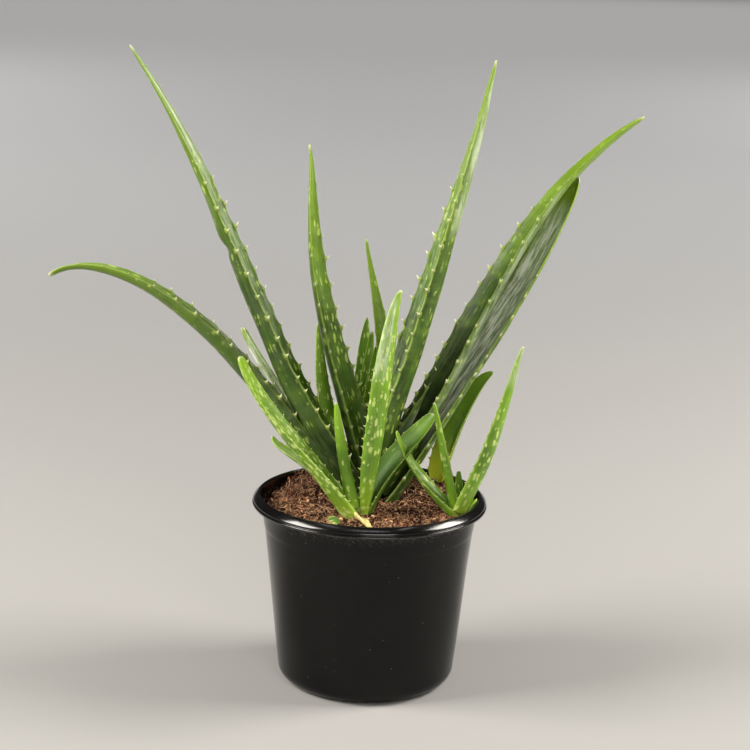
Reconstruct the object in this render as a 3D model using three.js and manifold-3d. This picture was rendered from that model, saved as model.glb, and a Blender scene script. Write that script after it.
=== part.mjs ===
// Potted aloe vera: a mother plant and its pups in a round black nursery pot.
// Millimetres, +Z up, with the origin at the centre of the pot's flat underside.
// The view that the sizes were read from looks along +Y, with +X to the right.
import * as THREE from 'three';
import { mergeVertices } from 'three/addons/utils/BufferGeometryUtils.js';
import Module from 'manifold-3d';

const wasm = await Module();
wasm.setup();

// Pot
const POT_HEIGHT = 107;
const RIM_RADIUS = 65;
const WALL_TOP_RADIUS = 59.3;
const WALL_TOP = 98;
const WALL_FOOT_RADIUS = 48.8;
const WALL_THICKNESS = 1.5;
const FLOOR_THICKNESS = 2.4;
const FOOT_ROUND = 9;
const FOOT_ROUND_STEPS = 3;
const STEP_HEIGHT = 88.5;
const STEP_OUT = 0.4;
const STEP_RISE = 1;
const POT_SIDES = 40;
const DRAIN_COUNT = 6;
const DRAIN_RADIUS = 4;
const DRAIN_CIRCLE = 27;
const DRAIN_SIDES = 12;

// Outline of the rolled lip, as [in from the rim, down from the top]: up its outside, then down its inside
const LIP_OUTSIDE = [[4.5, 6.2], [1.2, 5.4], [0, 4.2], [0.2, 2.2], [1.3, 0.6]];
const LIP_INSIDE = [[2.8, 0], [4.2, 0.6], [4.6, 2], [5, 5.4], [7.2, 9.6]];

// Soil
const SOIL_LEVEL = 99.6;
const SOIL_EDGE_RADIUS = 57.9;
const SOIL_SHOULDER = 96;
const SOIL_CRUMB = 0.7;
const SOIL_SKIN = 0.5;
const SOIL_RINGS = 6;
const SOIL_SEED = 7;

// Mounds and hollows of the soil's surface
const MOUNDS = [
  { height: 9, x: -30, y: 38, spreadX: 22, spreadY: 17 },
  { height: 5, x: 36, y: 38, spreadX: 17, spreadY: 15 },
  { height: 1.2, x: -20, y: -35, spreadX: 18, spreadY: 12 },
  { height: -1.2, x: 25, y: -30, spreadX: 20, spreadY: 15 },
];

// Gap kept between pieces that touch, and the distances within which points and faces count as one
const CLEARANCE = 0.3;
const MERGE_DISTANCE = 1e-4;
const SIMPLIFY_DISTANCE = 0.05;

// Leaves: rings along a leaf for each kind, and the points of one section, as shares of its half width
const STATIONS = { large: 17, medium: 12, small: 8 };
const UPPER_SHARES = [-1, -0.55, 0, 0.55, 1];
const LOWER_SHARES = [0.8, 0, -0.8];
const LAST_RING = 0.985;
const BASE_NARROWING = 0.2;
const BASE_NARROWING_REACH = 0.05;
const BASE_FOLD_REACH = 0.1;
const BLUNT_REACH = 25;
const THICKNESS_POWER = 0.8;
const BEND_STEP = 0.001;
const LENGTH_SAMPLES = 100;
const FIRST_LEAF_SEED = 100;

// Teeth: where they start and end along a leaf, how evenly they stand, and how they shrink towards its tip
const FIRST_TOOTH = 0.14;
const LAST_TOOTH = 0.94;
const TOOTH_JITTER = 0.16;
const TOOTH_SHRINK = 0.45;

// One tooth, in shares of its size: how far it reaches out and forward, and how its root sits in the leaf
const TOOTH_REACH = 0.85;
const TOOTH_FORWARD = 0.5;
const TOOTH_ROOT_LENGTH = 1;
const TOOTH_SINK = 0.5;
const TOOTH_SINK_OF_WIDTH = 0.3;
const TOOTH_ROOT_DEPTH = 0.55;
const TOOTH_ROOT_OF_THICKNESS = 0.5;
const TOOTH_BELOW_FACE = 0.1;
const TOOTH_TIP_BELOW_FACE = 0.3;

const STEM_SIDES = 10;

const POT_LOOK = { color: 0x141414, roughness: 0.35 };
const SOIL_LOOK = { color: 0x5a3a2a, roughness: 1 };
const STEM_LOOK = { color: 0xb9c08a, roughness: 0.7 };
const MOTHER_LOOK = { color: 0x4f7f2a, roughness: 0.45 };
const PUP_LOOK = { color: 0x6f9e35, roughness: 0.45 };
const SHOOT_LOOK = { color: 0x8aa53a, roughness: 0.45 };
const STUB_LOOK = { color: 0xd9cf9a, roughness: 0.7 };

// Random numbers from a fixed seed, so that every build is the same
function seededRandom(seed) {
  let state = seed;
  return () => {
    state = (state * 1664525 + 1013904223) % 4294967296;
    return state / 4294967296;
  };
}

function degrees(angle) {
  return THREE.MathUtils.degToRad(angle);
}

function mergedShape(geometry) {
  const plain = geometry.clone();
  plain.deleteAttribute('normal');
  plain.deleteAttribute('uv');
  return mergeVertices(plain, MERGE_DISTANCE);
}

function toSolid(geometry) {
  const merged = mergedShape(geometry);
  return new wasm.Manifold(new wasm.Mesh({
    numProp: 3,
    vertProperties: new Float32Array(merged.attributes.position.array),
    triVerts: new Uint32Array(merged.index.array),
  }));
}

function toGeometry(solid) {
  const mesh = solid.getMesh();
  const geometry = new THREE.BufferGeometry();
  geometry.setAttribute('position', new THREE.BufferAttribute(mesh.vertProperties, 3));
  geometry.setIndex(new THREE.BufferAttribute(mesh.triVerts, 1));
  geometry.computeVertexNormals();
  return geometry;
}

// Solid from a list of corner points and a flat list of triangle indices
function solidFromPoints(points, faces) {
  const geometry = new THREE.BufferGeometry();
  geometry.setAttribute('position', new THREE.Float32BufferAttribute(points.flatMap((p) => p.toArray()), 3));
  geometry.setIndex(faces);
  return toSolid(geometry);
}

// A closed profile of [radius, height] points turned about the Z axis
function turned(profile) {
  const points = profile.map(([radius, height]) => new THREE.Vector2(radius, height));
  const geometry = new THREE.LatheGeometry(points, POT_SIDES);
  geometry.rotateX(Math.PI / 2);
  return geometry;
}

function largestBody(solid) {
  const bodies = solid.decompose();
  bodies.sort((a, b) => b.volume() - a.volume());
  return bodies[0];
}

// Pot

function wallRadius(height) {
  return WALL_FOOT_RADIUS + (WALL_TOP_RADIUS - WALL_FOOT_RADIUS) * height / WALL_TOP;
}

// Points on the quarter round at the pot's foot, from the underside up to the wall
function footRound(radius, inset) {
  const corner = wallRadius(FOOT_ROUND) - FOOT_ROUND;
  const points = [];
  for (let i = 0; i <= FOOT_ROUND_STEPS; i += 1) {
    const angle = (Math.PI / 2) * (i / FOOT_ROUND_STEPS);
    points.push([corner + radius * Math.sin(angle), FOOT_ROUND - radius * Math.cos(angle) + inset]);
  }
  return points;
}

// One side of the lip's outline as [radius, height] points, moved in and up by the given steps
function lipPoints(outline, inward, up) {
  return outline.map(([fromRim, fromTop]) => [RIM_RADIUS - fromRim - inward, POT_HEIGHT - fromTop + up]);
}

function potSolid() {
  const profile = [
    [0, 0],
    ...footRound(FOOT_ROUND, 0),
    [wallRadius(STEP_HEIGHT), STEP_HEIGHT],
    [wallRadius(STEP_HEIGHT) + STEP_OUT, STEP_HEIGHT + STEP_RISE],
    [WALL_TOP_RADIUS + STEP_OUT, WALL_TOP],
    ...lipPoints(LIP_OUTSIDE, 0, 0),
    ...lipPoints(LIP_INSIDE, 0, 0),
    [wallRadius(STEP_HEIGHT) - WALL_THICKNESS, STEP_HEIGHT],
    ...footRound(FOOT_ROUND - WALL_THICKNESS, FLOOR_THICKNESS - WALL_THICKNESS).reverse(),
    [0, FLOOR_THICKNESS],
  ];
  let pot = toSolid(turned(profile));
  for (let i = 0; i < DRAIN_COUNT; i += 1) {
    const angle = 2 * Math.PI * (i + 0.5) / DRAIN_COUNT;
    const drain = new THREE.CylinderGeometry(DRAIN_RADIUS, DRAIN_RADIUS, 4 * FLOOR_THICKNESS, DRAIN_SIDES);
    drain.rotateX(Math.PI / 2);
    drain.translate(DRAIN_CIRCLE * Math.cos(angle), DRAIN_CIRCLE * Math.sin(angle), 0);
    pot = pot.subtract(toSolid(drain));
  }
  return pot;
}

// A slightly fatter lip, which leaves near the rim keep clear of
function lipKeepOut() {
  const wall = wallRadius(STEP_HEIGHT) - WALL_THICKNESS - CLEARANCE;
  return toSolid(turned([
    [wall, STEP_HEIGHT],
    [RIM_RADIUS + CLEARANCE, STEP_HEIGHT],
    [RIM_RADIUS + CLEARANCE, POT_HEIGHT + CLEARANCE],
    ...lipPoints(LIP_INSIDE, 2 * CLEARANCE, CLEARANCE),
    [wall, STEP_HEIGHT],
  ]));
}

// Soil

function soilHeight(x, y) {
  return MOUNDS.reduce((height, mound) => {
    const across = (x - mound.x) / mound.spreadX;
    const deep = (y - mound.y) / mound.spreadY;
    return height + mound.height * Math.exp(-across * across - deep * deep);
  }, SOIL_LEVEL);
}

// The mix fills the pot up to the wall. Its top rings are raised by the mounds, with small crumbs.
function soilSolid(grow) {
  const floor = FLOOR_THICKNESS + CLEARANCE;
  const wall = WALL_THICKNESS + CLEARANCE;
  const profile = [
    [0, floor],
    ...footRound(FOOT_ROUND - wall, floor - wall),
    [wallRadius(STEP_HEIGHT) - wall, STEP_HEIGHT],
    [WALL_TOP_RADIUS - wall + grow, SOIL_SHOULDER],
    [SOIL_EDGE_RADIUS + grow, SOIL_LEVEL],
  ];
  for (let ring = 1; ring < SOIL_RINGS; ring += 1) {
    profile.push([SOIL_EDGE_RADIUS * (1 - ring / SOIL_RINGS), SOIL_LEVEL]);
  }
  profile.push([0, SOIL_LEVEL]);
  const merged = mergedShape(turned(profile));
  const position = merged.attributes.position;
  const random = seededRandom(SOIL_SEED);
  for (let i = 0; i < position.count; i += 1) {
    if (position.getZ(i) > SOIL_LEVEL - SOIL_SKIN) {
      const crumb = SOIL_CRUMB * (2 * random() - 1);
      position.setZ(i, soilHeight(position.getX(i), position.getY(i)) + crumb + grow);
    }
  }
  return toSolid(merged);
}

// Stems: each stands in a plain hole in the soil

const STEMS = [
  { name: 'mother_stem', foot: [-1, 18, 66], head: [-1, 17, 116], radius: 6.5, headRadius: 3.5 },
  { name: 'back_pup_stem', foot: [-3, 41, 84], head: [-3, 42, 110], radius: 3.6, headRadius: 2.4 },
  { name: 'front_pup_stem', foot: [-5, -13, 82], head: [-6, -15, 104.5], radius: 3.6, headRadius: 2.4 },
  { name: 'right_pup_stem', foot: [47, -8, 86], head: [50.5, -8.7, 103], radius: 2.4, headRadius: 1.6 },
  { name: 'side_shoot_stem', foot: [33, 34, 86], head: [38, 38, 106], radius: 2.4, headRadius: 1.6 },
];

function stemSolid(stem, grow) {
  const foot = new THREE.Vector3(...stem.foot);
  const head = new THREE.Vector3(...stem.head);
  const along = head.clone().sub(foot);
  const length = along.length() + 2 * grow;
  const geometry = new THREE.CylinderGeometry(stem.headRadius + grow, stem.radius + grow, length, STEM_SIDES);
  const upright = new THREE.Vector3(0, 1, 0);
  geometry.applyQuaternion(new THREE.Quaternion().setFromUnitVectors(upright, along.normalize()));
  const middle = foot.add(head).multiplyScalar(0.5);
  geometry.translate(middle.x, middle.y, middle.z);
  return toSolid(geometry);
}

// Leaves

// Point on the bend that a leaf's centre line follows, by repeated halving of its control points
function bendPoint(points, t) {
  let row = points;
  while (row.length > 1) {
    row = row.slice(1).map((point, i) => row[i].clone().lerp(point, t));
  }
  return row[0];
}

// Distance along the bend at each of its samples
function bendLengths(points) {
  const lengths = [0];
  for (let i = 1; i <= LENGTH_SAMPLES; i += 1) {
    const here = bendPoint(points, i / LENGTH_SAMPLES);
    lengths.push(lengths[i - 1] + here.distanceTo(bendPoint(points, (i - 1) / LENGTH_SAMPLES)));
  }
  return lengths;
}

// Directions at one place on a leaf: along it, across it, and out of its upper face
function leafFrame(leaf, t) {
  const along = bendPoint(leaf.points, Math.min(t + BEND_STEP, 1))
    .sub(bendPoint(leaf.points, Math.max(t - BEND_STEP, 0)))
    .normalize();
  const face = degrees(leaf.face);
  const facing = new THREE.Vector3(Math.cos(face), Math.sin(face), 1).normalize();
  const out = facing.addScaledVector(along, -facing.dot(along)).normalize();
  out.applyAxisAngle(along, degrees(leaf.twist) * t);
  const across = along.clone().cross(out);
  return { centre: bendPoint(leaf.points, t), along, across, out };
}

// What a leaf's rounded tip adds to its half width and its thickness
function leafBluntness(leaf, t) {
  const ahead = leaf.lengths[LENGTH_SAMPLES] * (1 - t);
  return leaf.blunt * Math.sqrt(1 - Math.exp(-ahead / leaf.blunt)) * Math.exp(-ahead / BLUNT_REACH);
}

function leafHalfWidth(leaf, t) {
  const taper = (1 - t) ** leaf.taper * (1 + leaf.taper * t);
  const base = 1 - leaf.narrowing * Math.exp(-t / leaf.narrowingReach);
  return 0.5 * leaf.width * taper * base + leafBluntness(leaf, t);
}

function leafThickness(leaf, t) {
  return leaf.thick * (1 - t) ** THICKNESS_POWER + leafBluntness(leaf, t);
}

// Half of the angle that the channelled section spans: wrapped round the stem at the base, flatter above
function leafFold(leaf, t) {
  const [base, middle, tip] = leaf.fold;
  return degrees(middle + (tip - middle) * t + (base - middle) * Math.exp(-t / BASE_FOLD_REACH));
}

// Point of the section on an arc of the leaf's width: share runs from -1 to 1 across it,
// depth is how far below the upper face it lies, and reach moves it out past the margin
function sectionPoint(leaf, frame, t, share, depth, reach) {
  const fold = leafFold(leaf, t);
  const radius = leafHalfWidth(leaf, t) / fold;
  const angle = fold * share;
  const outward = reach * Math.sign(share);
  const x = (radius + depth) * Math.sin(angle) + outward * Math.cos(angle);
  const y = radius - (radius + depth) * Math.cos(angle) + outward * Math.sin(angle);
  return frame.centre.clone().addScaledVector(frame.across, x).addScaledVector(frame.out, y);
}

function leafRing(leaf, t, grow) {
  const frame = leafFrame(leaf, t);
  const ring = UPPER_SHARES.map((share) => {
    const atMargin = Math.abs(share) === 1;
    return sectionPoint(leaf, frame, t, share, atMargin ? 0 : -grow, atMargin ? 2 * grow : 0);
  });
  LOWER_SHARES.forEach((share) => {
    const depth = leafThickness(leaf, t) * Math.sqrt(1 - share * share) + grow;
    ring.push(sectionPoint(leaf, frame, t, share, depth, 0));
  });
  return ring;
}

function leafBlade(leaf, grow) {
  const stations = STATIONS[leaf.size];
  const rings = [];
  for (let i = 0; i < stations; i += 1) {
    rings.push(leafRing(leaf, LAST_RING * i / (stations - 1), grow));
  }
  const first = leafFrame(leaf, 0);
  rings[0].forEach((point) => point.addScaledVector(first.along, -grow));
  const last = leafFrame(leaf, 1);
  const tip = last.centre.addScaledVector(last.along, grow).addScaledVector(last.out, -leaf.blunt / 2);
  const heel = first.centre.addScaledVector(first.along, -grow).addScaledVector(first.out, -leaf.thick / 2);
  const sides = rings[0].length;
  const tipIndex = stations * sides;
  const heelIndex = tipIndex + 1;
  const faces = [];
  for (let side = 0; side < sides; side += 1) {
    const next = (side + 1) % sides;
    for (let i = 0; i < stations - 1; i += 1) {
      const here = i * sides;
      const there = here + sides;
      faces.push(here + side, here + next, there + side);
      faces.push(here + next, there + next, there + side);
    }
    const end = (stations - 1) * sides;
    faces.push(end + side, end + next, tipIndex);
    faces.push(next, side, heelIndex);
  }
  return solidFromPoints([...rings.flat(), tip, heel], faces);
}

// One hooked marginal tooth: a three-sided spike with its root sunk into the leaf
function toothSolid(leaf, t, side, grow) {
  const size = leaf.tooth * (1 - TOOTH_SHRINK * t);
  const frame = leafFrame(leaf, t);
  const sink = Math.min(TOOTH_SINK * size, TOOTH_SINK_OF_WIDTH * leafHalfWidth(leaf, t));
  const rootLimit = TOOTH_ROOT_OF_THICKNESS * leafThickness(leaf, t);
  const rootDepth = Math.min(TOOTH_ROOT_DEPTH * size, rootLimit) + grow;
  const rootHalf = 0.5 * TOOTH_ROOT_LENGTH * size + grow;
  const root = sectionPoint(leaf, frame, t, side, TOOTH_BELOW_FACE - grow, -sink);
  const points = [
    root.clone().addScaledVector(frame.along, -rootHalf),
    root.clone().addScaledVector(frame.along, rootHalf),
    sectionPoint(leaf, frame, t, side, TOOTH_BELOW_FACE + rootDepth, -sink),
    sectionPoint(leaf, frame, t, side, TOOTH_TIP_BELOW_FACE, TOOTH_REACH * size + 2 * grow)
      .addScaledVector(frame.along, TOOTH_FORWARD * size + grow),
  ];
  const left = [0, 2, 1, 0, 1, 3, 1, 2, 3, 2, 0, 3];
  const right = [0, 1, 2, 1, 0, 3, 2, 1, 3, 0, 2, 3];
  return solidFromPoints(points, side < 0 ? left : right);
}

// Places of the teeth along both margins, about the leaf's spacing apart
function toothPlaces(leaf) {
  const random = seededRandom(leaf.seed);
  const total = leaf.lengths[LENGTH_SAMPLES];
  const places = [];
  [-1, 1].forEach((side) => {
    let distance = FIRST_TOOTH * total + (side > 0 ? 0.5 * leaf.spacing : 0);
    while (distance < LAST_TOOTH * total) {
      const wanted = distance + leaf.spacing * TOOTH_JITTER * (2 * random() - 1);
      const after = leaf.lengths.findIndex((length) => length > wanted);
      places.push({ side, t: after / LENGTH_SAMPLES });
      distance += leaf.spacing;
    }
  });
  return places;
}

function leafSolid(leaf, grow) {
  const places = leaf.tooth > 0 ? toothPlaces(leaf) : [];
  return places.reduce(
    (solid, { side, t }) => solid.add(toothSolid(leaf, t, side, grow)),
    leafBlade(leaf, grow),
  );
}

// Each leaf: root, bends and tip of its centre line on the upper face; width, taper and thickness;
// the half angle of its channel at the base, above it and at the tip; the compass direction that its
// upper face turns to, in degrees from +X; its twist; how much its base narrows and how far its tip is
// rounded off; and the spacing and length of its teeth.
// Outer leaves come first, and each later one is trimmed where it tucks in behind them.
const MOTHER = {
  look: MOTHER_LOOK, size: 'large', narrowing: BASE_NARROWING, narrowingReach: BASE_NARROWING_REACH,
  blunt: 0.7, tooth: 2.6, spacing: 17,
};
const PUP = {
  look: PUP_LOOK, size: 'small', narrowing: BASE_NARROWING, narrowingReach: BASE_NARROWING_REACH,
  blunt: 0.9, tooth: 1.3, spacing: 12,
};

const LEAVES = [
  {
    ...MOTHER, name: 'mother_leaf_low_left',
    path: [[-10, 16, 100], [-66, 16, 168], [-102, 17, 223], [-157, 18, 240], [-181, 20, 222]],
    width: 21, taper: 0.85, thick: 8, fold: [75, 46, 40], face: 16, twist: -15, blunt: 1.3,
  },
  {
    ...MOTHER, name: 'mother_leaf_right_lower',
    path: [[8, 17, 100], [48, 24, 174], [97, 42, 231], [112, 56, 280]],
    width: 28, taper: 0.35, thick: 6, fold: [75, 38, 40], face: 231, twist: -15, blunt: 1.5,
  },
  {
    ...MOTHER, name: 'mother_leaf_right_upper',
    path: [[5, 18, 105], [45, 22, 167], [67, 34, 225], [89, 50, 272], [150, 68, 313.5]],
    width: 29.5, taper: 0.4, thick: 6, fold: [75, 36, 40], face: 205, twist: -20,
  },
  {
    ...MOTHER, name: 'mother_leaf_tall_left',
    path: [[-7, 16, 105], [-51, 14, 164], [-72, 12, 224], [-92, 8, 289], [-134, 4, 351]],
    width: 29, taper: 1.1, thick: 8, fold: [75, 51, 40], face: 8, twist: -26,
  },
  {
    ...MOTHER, name: 'mother_leaf_small_left', size: 'medium',
    path: [[-8, 21, 103], [-50, 32, 147], [-71, 40, 180], [-75, 46, 190]],
    width: 13, taper: 0.8, thick: 3.5, fold: [75, 37, 40], face: 5, twist: -22, blunt: 1.3, tooth: 1.6,
    spacing: 10,
  },
  {
    ...MOTHER, name: 'mother_leaf_tall_centre',
    path: [[-1, 16, 116], [29, 14, 213], [52, 10, 292], [61, 6, 348]],
    width: 26.4, taper: 0.75, thick: 8, fold: [75, 52, 40], face: 202, twist: -16,
  },
  {
    ...MOTHER, name: 'mother_leaf_centre_left',
    path: [[-3, 20, 112], [-16, 26, 177], [-44, 34, 221], [-33, 42, 259], [-39, 50, 295]],
    width: 17.8, taper: 1, thick: 5.7, fold: [75, 50, 40], face: -40, twist: 10, tooth: 2.2,
  },
  {
    ...MOTHER, name: 'mother_leaf_inner', size: 'medium',
    path: [[2, 21, 112], [17, 32, 157], [2, 40, 199], [-6, 46, 243]],
    width: 13.5, taper: 1.2, thick: 5, fold: [70, 45, 35], face: -89, twist: 0, tooth: 1.6, spacing: 12,
  },
  {
    ...PUP, name: 'back_pup_leaf_1',
    path: [[-7, 43, 104], [-30, 46, 128], [-30, 48, 163], [-32, 48, 193]],
    width: 13, taper: 0.9, thick: 4, fold: [60, 40, 30], face: -50, twist: -7,
  },
  {
    ...PUP, name: 'back_pup_leaf_2',
    path: [[-6, 42, 104], [-5, 43, 139], [-3, 45, 169], [-1, 45, 190]],
    width: 12.3, taper: 1.05, thick: 4, fold: [60, 40, 30], face: -90, twist: 0,
  },
  {
    ...PUP, name: 'back_pup_leaf_3',
    path: [[-4, 45, 104], [-5, 48, 148], [-6, 50, 181], [-4, 51, 197]],
    width: 14.5, taper: 1, thick: 4, fold: [60, 40, 30], face: -90, twist: 0, blunt: 0.4,
  },
  {
    ...PUP, name: 'back_pup_leaf_4',
    path: [[-1, 40, 104], [0, 38, 149], [3, 38, 178], [3, 38, 188]],
    width: 14.5, taper: 1.05, thick: 4, fold: [60, 40, 30], face: -90, twist: 0, blunt: 0.5,
  },
  {
    ...PUP, name: 'front_pup_leaf_1', size: 'medium',
    path: [[-9.5, -20, 100], [-30, -20, 131], [-60, -22, 154], [-72, -24, 189]],
    width: 18, taper: 0.45, thick: 5, fold: [70, 43, 35], face: 12, twist: -29, blunt: 1.3, tooth: 1.6,
  },
  {
    ...PUP, name: 'front_pup_leaf_2',
    path: [[-10, -13, 101], [-30, -11, 130], [-54, -9, 133], [-54, -8, 141]],
    width: 12, taper: 1, thick: 3.5, fold: [60, 41, 30], face: -9, twist: -18,
  },
  {
    ...PUP, name: 'front_pup_leaf_3', size: 'medium',
    path: [[-4, -15.5, 100], [7, -18, 167], [8, -18, 213], [14, -16, 226]],
    width: 17, taper: 0.85, thick: 3.8, fold: [70, 45, 35], face: 140, twist: -20, narrowing: 0.9,
    narrowingReach: 0.12, tooth: 1.6,
  },
  {
    ...PUP, name: 'front_pup_leaf_4',
    path: [[-3, -12, 100], [5, -8, 127], [29, 0, 143], [34, 4, 153]],
    width: 15, taper: 0.55, thick: 4, fold: [65, 36, 30], face: 223, twist: 15,
  },
  {
    ...PUP, name: 'front_pup_leaf_5',
    path: [[-8, -14, 103], [-18, -12, 136], [-19, -10, 160], [-20, -9, 161]],
    width: 6.3, taper: 1.05, thick: 3.5, fold: [60, 39, 30], face: 85, twist: 0, blunt: 0.6, tooth: 1,
  },
  {
    ...PUP, name: 'right_pup_leaf_1',
    path: [[48, -10, 99], [32, -9, 114], [18, -7, 129], [14, -5, 145]],
    width: 12, taper: 1.2, thick: 3.2, fold: [65, 40, 30], face: -7, twist: -26,
  },
  {
    ...PUP, name: 'right_pup_leaf_2',
    path: [[50, -9, 101], [74, -9, 150], [76.5, -10, 187], [81, -12, 196]],
    width: 17.5, taper: 1.5, thick: 4, fold: [65, 45, 30], face: 164, twist: -13,
  },
  {
    ...PUP, name: 'right_pup_leaf_3',
    path: [[49, -9, 101], [40, -8, 135], [36, -7, 158], [34, -6, 162]],
    width: 5, taper: 1.15, thick: 4, fold: [65, 45, 30], face: 22, twist: 8, tooth: 1,
  },
  {
    ...PUP, name: 'right_pup_leaf_4',
    path: [[55, -8, 98], [54, -7, 103], [59, -6, 107], [59, -5, 107]],
    width: 5.2, taper: 1, thick: 2.5, fold: [50, 40, 30], face: 180, twist: 0, tooth: 0.6, spacing: 4,
  },
  {
    ...PUP, name: 'right_pup_leaf_5',
    path: [[51, -7, 101], [49, -6, 112], [49, -5, 120], [49, -5, 123]],
    width: 4.2, taper: 1.15, thick: 2.5, fold: [50, 40, 30], face: -89, twist: 0, tooth: 0.6, spacing: 6,
  },
  {
    ...PUP, name: 'side_shoot_leaf', look: SHOOT_LOOK,
    path: [[37.5, 37.5, 105], [46, 38, 140], [59, 38, 165], [68.5, 38, 169.5]],
    width: 15.5, taper: 0.8, thick: 4, fold: [48, 41, 30], face: 228, twist: 10, narrowing: 0.5, blunt: 0.6,
  },
  // A pale, withered leaf base that lies on the soil: a strip that narrows to a point, bent up in the middle
  {
    name: 'old_leaf_stub', look: STUB_LOOK, size: 'small',
    path: [[-5, -26, 101.6], [-4, -32, 103.6], [-1, -40, 101.6], [1, -47, 101.2]],
    width: 8.5, taper: 0.5, thick: 2, fold: [30, 25, 20], face: 60, twist: 0,
    narrowing: BASE_NARROWING, narrowingReach: BASE_NARROWING_REACH, blunt: 0.4, tooth: 0,
  },
  // A torn-off bit of a leaf on the soil
  {
    name: 'leaf_scrap', look: PUP_LOOK, size: 'small',
    path: [[-21.2, -38, 101.4], [-19.2, -38, 103.2], [-17.2, -37.5, 102.8], [-15.4, -37, 101.4]],
    width: 5.6, taper: 0.5, thick: 0.8, fold: [20, 15, 10], face: -70, twist: 0,
    narrowing: BASE_NARROWING, narrowingReach: BASE_NARROWING_REACH, blunt: 0.3, tooth: 0,
  },
];

// The model

const group = new THREE.Group();

function addPiece(name, solid, look) {
  const mesh = new THREE.Mesh(toGeometry(solid), new THREE.MeshStandardMaterial({ ...look, metalness: 0 }));
  mesh.name = name;
  group.add(mesh);
}

let soil = soilSolid(0);
const keepOuts = [soilSolid(CLEARANCE), lipKeepOut()];
STEMS.forEach((stem) => {
  soil = soil.subtract(stemSolid(stem, CLEARANCE));
});
addPiece('pot', potSolid(), POT_LOOK);
addPiece('soil', largestBody(soil), SOIL_LOOK);
STEMS.forEach((stem) => {
  addPiece(stem.name, stemSolid(stem, 0), STEM_LOOK);
  keepOuts.push(stemSolid(stem, CLEARANCE));
});

LEAVES.forEach((spec, index) => {
  const points = spec.path.map((point) => new THREE.Vector3(...point));
  const leaf = { ...spec, points, lengths: bendLengths(points), seed: FIRST_LEAF_SEED + index };
  let solid = leafSolid(leaf, 0);
  keepOuts.forEach((keepOut) => {
    solid = solid.subtract(keepOut);
  });
  addPiece(leaf.name, largestBody(solid).simplify(SIMPLIFY_DISTANCE), leaf.look);
  keepOuts.push(leafSolid(leaf, CLEARANCE));
});

export default group;
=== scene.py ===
# Potted aloe vera in a black nursery pot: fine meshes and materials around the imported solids
import math
from itertools import combinations

import bmesh
import bpy
import numpy as np
from mathutils import Matrix, Quaternion, Vector, noise


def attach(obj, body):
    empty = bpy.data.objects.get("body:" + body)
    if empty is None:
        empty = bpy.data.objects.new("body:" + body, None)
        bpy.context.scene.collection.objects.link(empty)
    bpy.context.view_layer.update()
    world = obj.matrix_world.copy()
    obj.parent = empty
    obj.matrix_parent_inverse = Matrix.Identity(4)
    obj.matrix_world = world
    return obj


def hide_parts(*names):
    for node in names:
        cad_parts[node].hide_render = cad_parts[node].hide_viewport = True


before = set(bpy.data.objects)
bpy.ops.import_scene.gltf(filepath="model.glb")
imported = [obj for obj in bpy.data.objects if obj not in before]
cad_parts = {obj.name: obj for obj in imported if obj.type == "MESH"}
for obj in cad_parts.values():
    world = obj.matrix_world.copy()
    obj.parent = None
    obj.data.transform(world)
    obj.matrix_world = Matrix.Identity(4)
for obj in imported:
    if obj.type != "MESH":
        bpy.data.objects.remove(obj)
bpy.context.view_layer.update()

MM = 0.001
BODY = "root"
MERGE_DISTANCE = 1e-6

# Camera: place, tilt and lens that give the photograph's view in a square frame
CAMERA_DISTANCE = 1.070
CAMERA_HEIGHT = 0.430
CAMERA_PITCH = math.radians(13.4)
CAMERA_YAW = math.radians(0.06)
CAMERA_ROLL = math.radians(1.58)
CAMERA_SENSOR = 36.0
CAMERA_LENS = 96.0

# Studio: light from all round, soft lights, and panels that light the floor far from the plant
FLOOR_GREY = (0.36, 0.355, 0.35, 1.0)
SKY = (0.97, 0.98, 1.0, 1.0)
AIM = (0, 0, 0.2)
SOFT_LIGHTS = [
    ("soft_left", (-1.15, -0.28, 0.95), (0.75, 0.7), 31),
    ("soft_right", (1.15, 0.1, 0.95), (0.7, 0.6), 28),
    ("soft_front", (0.25, -1.5, 0.85), (0.9, 0.7), 11.5),
]
PANELS = [("back", 0, 1), ("front", 0, -1), ("left", -1, 0), ("right", 1, 0)]
PANEL_SPREAD = 50
WORLD_LIGHT = 0.05
WORLD_SEEN = 0.55
FLOOR_REACH = 20.0
KEY_WARMTH = (1.0, 0.95, 0.87)
PANEL_DISTANCE = 5.0
PANEL_HEIGHT = 3.0
PANEL_SIZE = 8.0
PANEL_POWER = 210

# Pot, in millimetres
POT_HEIGHT = 107
RIM_RADIUS = 65
LIP_INNER_RADIUS = 60.4
LIP_BOTTOM = 101.6
WALL_TOP_RADIUS = 59.3
WALL_TOP = 98
WALL_FOOT_RADIUS = 48.8
WALL_THICKNESS = 1.5
FLOOR_THICKNESS = 2.4
FOOT_ROUND = 9
STEP_HEIGHT = 88.5
STEP_OUT = 0.4
POT_SIDES = 180
WALL_RING_HEIGHTS = range(12, 84, 4)
CORNER_CUT = 0.25
WALL_WOBBLE = 0.35
LIP_SAG = 0.18

# Corners of the lip's outer side, from its widest radius and its lower edge
LIP_CORNERS = [
    (-4.4, -1), (-1, -0.6), (0.3, -0.2), (0.3, 1), (-0.6, 1.3), (-0.5, 1.8), (0.1, 2.1), (-0.6, 3.3)]

# Drain holes in the pot's floor, in millimetres
DRAIN_COUNT = 6
DRAIN_RADIUS = 4
DRAIN_CIRCLE = 27
DRAIN_FIELD_INNER = 20
DRAIN_FIELD_OUTER = 34
DRAIN_SPOKE_STEPS = 6

# Soil, in millimetres
SOIL_LEVEL = 99.6
SOIL_EDGE_RADIUS = 57.9
SOIL_SHOULDER = 96
CLEARANCE = 0.3
SOIL_SIDES = 400
SOIL_RING_STEP = 0.75
SOIL_EDGE_DROP = 1.6

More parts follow.
